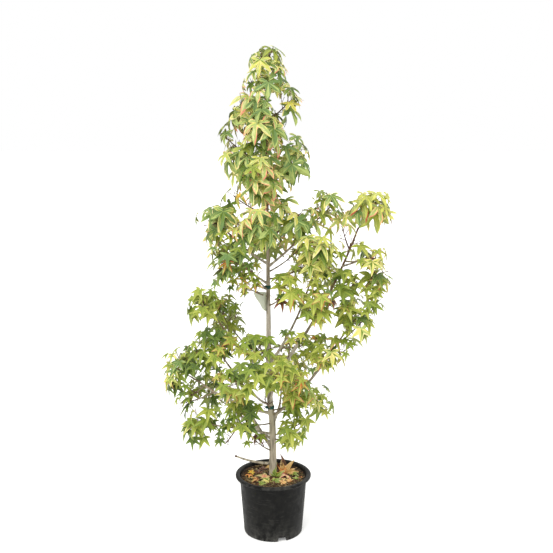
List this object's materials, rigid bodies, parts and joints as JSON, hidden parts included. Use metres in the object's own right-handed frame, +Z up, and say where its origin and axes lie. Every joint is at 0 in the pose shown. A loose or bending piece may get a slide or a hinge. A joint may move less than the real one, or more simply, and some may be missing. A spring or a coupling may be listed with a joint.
{
  "type": "potted sweetgum tree",
  "caption": "Young variegated sweetgum tree with an upright trunk, rising boughs and open masses of five-lobed leaves, in a black nursery pot of soil.",
  "frame": {"origin": "middle of the pot's underside, at the centre of its flat middle pad, on the ground", "axes": "+Z up along the trunk, -Y the tree's front, +X its right seen from the front"},
  "size_m": [1.0372, 0.5634, 2.1456],
  "materials": {
    "pot": "satin black",
    "soil": "rough moist bark mulch",
    "bark": "smooth young grey-brown bark",
    "leaves_upper": "satin leaf",
    "leaves_lower": "satin leaf",
    "tie": "matte",
    "label": "satin"
  },
  "bodies": {
    "root": {"pot": "pot", "soil": "soil", "trunk": "bark", "bough_snag": "bark", "bough_left_mid": "bark", "bough_left_low": "bark", "bough_left_outer": "bark", "bough_left_high": "bark", "bough_shoulder_left_low": "bark", "bough_shoulder_left": "bark", "bough_right_mid": "bark", "bough_right_main": "bark", "bough_right_high": "bark", "bough_right_back": "bark", "bough_left_back_high": "bark", "bough_left_back_low": "bark", "bough_centre_back": "bark", "bough_centre_front": "bark", "bough_left_front": "bark", "bough_right_outer": "bark", "foliage_tip": "leaves_upper", "foliage_top_right": "leaves_upper", "foliage_top_left": "leaves_upper", "foliage_column_front_high": "leaves_upper", "foliage_column_left": "leaves_upper", "foliage_column_right": "leaves_upper", "foliage_column_front_low": "leaves_upper", "foliage_column_back_high": "leaves_upper", "foliage_column_back_low": "leaves_upper", "foliage_shoulder_left": "leaves_upper", "foliage_shoulder_left_low": "leaves_lower", "foliage_shoulder_front": "leaves_upper", "foliage_shoulder_back": "leaves_upper", "foliage_shoulder_right": "leaves_upper", "foliage_right_high": "leaves_upper", "foliage_right_top": "leaves_upper", "foliage_right_outer": "leaves_lower", "foliage_right_inner": "leaves_lower", "foliage_right_back": "leaves_lower", "foliage_right_low_outer": "leaves_lower", "foliage_right_low_mid": "leaves_lower", "foliage_centre_right": "leaves_lower", "foliage_right_low": "leaves_lower", "foliage_left_high": "leaves_lower", "foliage_left_back_high": "leaves_lower", "foliage_left_mid": "leaves_lower", "foliage_left_outer": "leaves_lower", "foliage_left_front": "leaves_lower", "foliage_left_low": "leaves_lower", "foliage_left_low_inner": "leaves_lower", "foliage_left_low_back": "leaves_lower", "foliage_centre_front": "leaves_lower", "foliage_centre_front_high": "leaves_lower", "foliage_right_low_front": "leaves_lower", "foliage_right_low_side": "leaves_lower", "foliage_centre_back": "leaves_lower", "foliage_low_right_tuft": "leaves_lower", "tie_lower": "tie", "tie_upper": "tie", "label": "label"}
  },
  "joints": []
}
